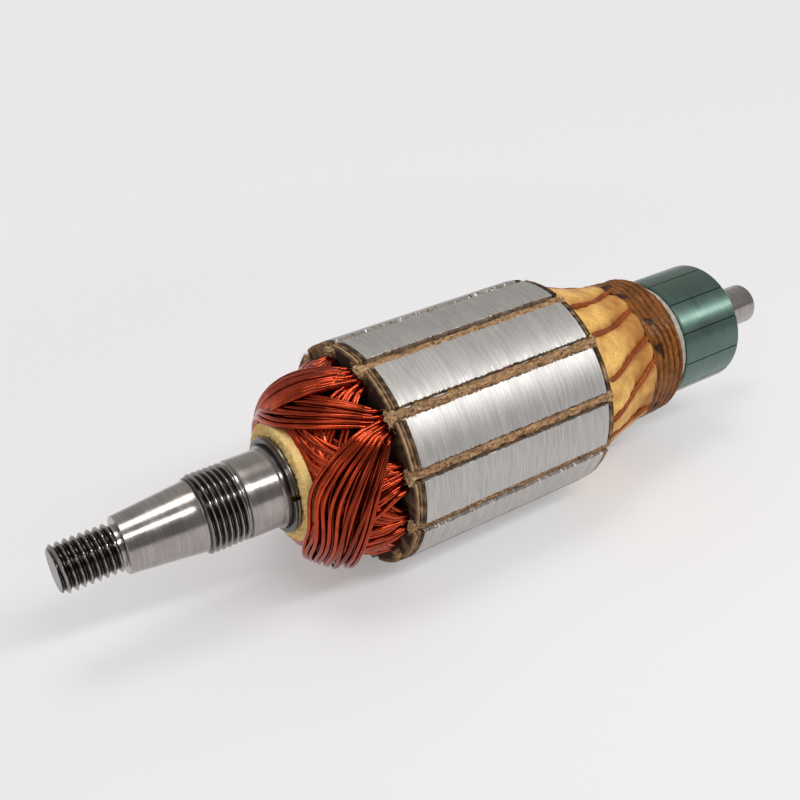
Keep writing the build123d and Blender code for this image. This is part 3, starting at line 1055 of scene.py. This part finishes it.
class ARMATURE_OT_binding(bpy.types.Operator):
    """Cord wound tight behind the cover and soaked in varnish"""

    bl_idname = "armature.binding"
    bl_label = "Cord binding"

    def execute(self, context):
        settings = context.scene.armature
        start, end, crown = span("cord_binding")
        inner = bore_of("cord_binding")
        points = node_points("cord_binding")
        rear = radius_of(points[points[:, 0] > end - 1.5]).max()
        pitch = (end - start) / settings.cord_turns
        strand_count = 66
        pattern_radius = 20.0
        stations = np.linspace(start, end, 130)[:, None]
        angles = angles_round(320)[None]
        share = (stations - start) / (end - start)
        body = crown + (rear - crown) * share - 2.4 * np.clip((share - 0.8) / 0.2, 0, 1) ** 2.2
        around = polar(stations, pattern_radius, angles)
        slip = waves(around * (0.3, 1, 1), 16.0, 81) * 0.3
        phase = (stations - start) / pitch - angles / FULL_TURN + slip
        ridge = np.abs(np.sin(np.pi * phase)) ** 0.7
        strands = np.sin(angles * strand_count + phase * 9) * 0.5 + 0.5
        pooled = np.clip(waves(around, 9.0, 82) * 0.6 + 0.95 - share, 0, 1)
        relief = 0.45 * ridge + 0.08 * strands * ridge + waves(around, 2.5, 83) * 0.1
        radii = body - np.maximum(0.6 - relief * (1 - 0.55 * pooled), 0)
        front, back = polar(start, inner, angles), polar(end, inner, angles)
        sheet = Sheet()
        sheet.ring(np.concatenate([front, polar(stations, radii, angles), back]))
        varnish = varnished_cord("varnished_cord", settings.cord_colour)
        cord = sheet.piece("cord_turns", varnish, "varnished_cord", ["cord_binding"], sharp=70)
        # Painted shade between the turns, weaker where varnish fills them, and dark spots towards the front
        spots = np.clip(waves(around, 4.0, 84) - 0.35, 0, 1) * 4 * np.clip(1 - share / 0.45, 0, 1)
        dark = np.clip((1.1 - ridge * 1.3) * (1 - 0.5 * pooled) + spots, 0, 1)
        edge = np.zeros(angles.size)
        mark_dirt_and_painted_shade(cord, edge, dark, edge)
        return {"FINISHED"}


class ARMATURE_OT_commutator(bpy.types.Operator):
    """Lacquered bars with shallow slits, the hub that carries them and the ring in front"""

    bl_idname = "armature.commutator"
    bl_label = "Commutator"

    def execute(self, context):
        settings = context.scene.armature
        self.bars(settings)
        self.hub()
        self.front_ring(settings)
        return {"FINISHED"}

    def bars(self, settings):
        """Barrel of bars with a shallow slit between each two."""
        start, end, outer = span("commutator_bars")
        inner = bore_of("commutator_bars")
        slit_depth = 0.2
        half_slit = 0.22 / outer
        pitch = FULL_TURN / BAR_COUNT
        face = np.linspace(half_slit + 0.01, pitch - half_slit - 0.01, 14)
        one = np.concatenate([[-half_slit * 0.6, half_slit * 0.6, half_slit], face, [pitch - half_slit]])
        angles = np.concatenate([one + settings.first_bar_slit + pitch * bar for bar in range(BAR_COUNT)])
        low = np.tile(np.arange(len(one)) < 2, BAR_COUNT)
        profile = chamfered([(start, inner), (start, outer), (end, outer), (end, inner)], 0.35)
        middle = [(start + share * (end - start), outer) for share in np.linspace(0.03, 0.97, 24)]
        profile = np.array(profile[:3] + middle + profile[3:])
        radii = profile[:, 1:2] - low[None] * slit_depth * (profile[:, 1:2] > inner + 0.5)
        sheet = Sheet()
        sheet.ring(polar(profile[:, :1], radii, angles[None]))
        lacquer = green_lacquer(settings.lacquer_colour)
        bars = sheet.piece("lacquered_bars", lacquer, "lacquered_copper", ["commutator_bars"], sharp=28)
        mark_dirt_and_painted_shade(bars, np.broadcast_to(low, radii.shape))

    def hub(self):
        """Moulded hub with a recess in its rear face."""
        start, end, outer = span("commutator_hub")
        inner = bore_of("commutator_hub")
        floor = end - 0.5
        corners = [(start, inner), (start, outer), (end, outer), (end, outer - 0.9), (floor, outer - 1.1),
                   (floor, inner + 0.9), (end, inner + 0.7), (end, inner)]
        sheet = Sheet()
        sheet.ring(lathe(chamfered(corners, 0.12), 120))
        moulding = fibrous("moulding", (0.05, 0.035, 0.025), (0.02, 0.015, 0.01), 900.0, specks=0.2,
                           roughness=0.5)
        sheet.piece("moulded_hub", moulding, "moulding", ["commutator_hub"], sharp=30)

    def front_ring(self, settings):
        """Rough ring of moulded mica in front of the bars."""
        start, end, outer = span("insulating_ring")
        inner = bore_of("insulating_ring")
        corners = [(end, inner), (start, inner), (start, outer - 0.5), (start + 0.45, outer),
                   (end - 0.5, outer), (end, outer - 0.3)]
        points = lathe(chamfered(corners, 0.2), 220)
        swell(points, np.minimum(rumple(points, ((4.0, 0.12), (1.2, 0.07)), 91), 0))
        sheet = Sheet()
        sheet.ring(points)
        mica = fibrous("mica", settings.mica_colour, (0.2, 0.15, 0.09), 800.0, (0.3, 1, 1), specks=0.28,
                       roughness=0.4)
        sheet.piece("mica_ring", mica, "mica", ["insulating_ring"], sharp=50)


class ARMATURE_OT_stage(bpy.types.Operator):
    """Pale floor, soft studio light and the camera"""

    bl_idname = "armature.stage"
    bl_label = "Stage"

    def execute(self, context):
        scene = context.scene
        self.floor(scene, -span("lamination_stack")[2] * MM)
        self.world(scene)
        self.lamps(scene)
        self.camera(scene)
        scene.view_settings.view_transform = "Standard"
        return {"FINISHED"}

    def floor(self, scene, level):
        """Pale floor that keeps the armature's shadow close to it and turns plain farther away."""
        material, tree, shader = new_material("pale_floor", Base_Color=FLOOR_COLOUR, Roughness=0.6,
                                              Specular_IOR_Level=0.2)
        pale = add_node(tree, "ShaderNodeEmission", {"Color": FLOOR_GLOW, "Strength": 1.0})
        light = add_node(tree, "ShaderNodeLightPath").outputs
        seen = math_node(tree, "MAXIMUM", light["Is Camera Ray"], light["Is Glossy Ray"])
        place = add_node(tree, "ShaderNodeTexCoord").outputs["Object"]
        under = (LIT_STATION, 0.0, level)
        away = add_node(tree, "ShaderNodeVectorMath", {0: place, 1: under}, operation="DISTANCE")
        plain = spread(tree, away.outputs["Value"], 0.36, 0.95, 0.06, 0.3)
        part = math_node(tree, "MULTIPLY", seen, plain)
        mixed = add_node(tree, "ShaderNodeMixShader", {0: part, 1: shader.outputs[0], 2: pale.outputs[0]})
        tree.links.new(mixed.outputs[0], tree.nodes["Material Output"].inputs["Surface"])
        mesh = bpy.data.meshes.new("floor")
        corners = [(-FLOOR_HALF, -FLOOR_HALF, level), (FLOOR_HALF, -FLOOR_HALF, level),
                   (FLOOR_HALF, FLOOR_HALF, level), (-FLOOR_HALF, FLOOR_HALF, level)]
        mesh.from_pydata(corners, [], [(0, 1, 2, 3)])
        mesh.materials.append(material)
        floor = bpy.data.objects.new("floor", mesh)
        scene.collection.objects.link(floor)

    def world(self, scene):
        """Soft light from all round, stronger from behind, in front of a pale backdrop."""
        world = bpy.data.worlds.new("studio")
        scene.world = world
        world.use_nodes = True
        tree = world.node_tree
        back = tree.nodes["Background"]
        place = add_node(tree, "ShaderNodeTexCoord").outputs["Generated"]
        parts = add_node(tree, "ShaderNodeSeparateXYZ", {0: place}).outputs
        depth = spread(tree, parts[1], WORLD_FRONT, WORLD_BEHIND, -0.8, 0.8)
        path = add_node(tree, "ShaderNodeLightPath").outputs["Is Camera Ray"]
        level = add_node(tree, "ShaderNodeMix", {0: path, 2: depth, 3: WORLD_SEEN}, data_type="FLOAT")
        back.inputs["Color"].default_value = WORLD_COLOUR
        tree.links.new(level.outputs[0], back.inputs["Strength"])

    def lamps(self, scene):
        """Area lamps that lie lengthwise along a direction and face the armature."""
        for name, place, lengthwise, length, width, power in LAMPS:
            data = bpy.data.lights.new(name, "AREA")
            data.shape = "RECTANGLE"
            data.size, data.size_y = length, width
            data.energy = power
            lamp = bpy.data.objects.new(name, data)
            along = Vector(lengthwise).normalized()
            away = Vector(place) - Vector((LIT_STATION, 0.0, 0.0))
            away = (away - along * away.dot(along)).normalized()
            turn = Matrix((along, away.cross(along), away)).transposed().to_4x4()
            lamp.matrix_world = Matrix.Translation(place) @ turn
            scene.collection.objects.link(lamp)

    def camera(self, scene):
        """Camera at the photograph's angle."""
        back = Vector(CAMERA_BACK)
        right = Vector((0, 0, 1)).cross(back).normalized()
        right = Matrix.Rotation(CAMERA_ROLL, 3, back) @ right
        data = bpy.data.cameras.new("camera")
        data.sensor_width = SENSOR_WIDTH
        data.lens = SENSOR_WIDTH * FOCAL_PIXELS / PICTURE_PIXELS
        data.clip_start = 0.01
        camera = bpy.data.objects.new("camera", data)
        turn = Matrix((right, back.cross(right), back)).transposed().to_4x4()
        camera.matrix_world = Matrix.Translation(CAMERA_PLACE) @ turn
        scene.collection.objects.link(camera)
        scene.camera = camera


OPERATORS = (
    ARMATURE_OT_shaft,
    ARMATURE_OT_washer,
    ARMATURE_OT_sleeve,
    ARMATURE_OT_core,
    ARMATURE_OT_end_plates,
    ARMATURE_OT_slot_strips,
    ARMATURE_OT_slot_paper,
    ARMATURE_OT_head_coils,
    ARMATURE_OT_rear_cover,
    ARMATURE_OT_leads,
    ARMATURE_OT_binding,
    ARMATURE_OT_commutator,
    ARMATURE_OT_stage,
)


class ARMATURE_PT_panel(bpy.types.Panel):
    """Lists the settings and the pieces of the armature"""

    bl_idname = "ARMATURE_PT_panel"
    bl_label = "Armature"
    bl_space_type = "VIEW_3D"
    bl_region_type = "UI"
    bl_category = "Armature"

    def draw(self, context):
        settings = context.scene.armature
        for name in ArmatureSettings.__annotations__:
            self.layout.prop(settings, name)
        for operator in OPERATORS:
            self.layout.operator(operator.bl_idname)


CLASSES = (ArmatureSettings, *OPERATORS, ARMATURE_PT_panel)


def register():
    for kind in CLASSES:
        bpy.utils.register_class(kind)
    bpy.types.Scene.armature = bpy.props.PointerProperty(type=ArmatureSettings)


def unregister():
    del bpy.types.Scene.armature
    for kind in reversed(CLASSES):
        bpy.utils.unregister_class(kind)


def main():
    register()
    for operator in OPERATORS:
        group, name = operator.bl_idname.split(".")
        getattr(getattr(bpy.ops, group), name)()


if __name__ == "__main__":
    main()
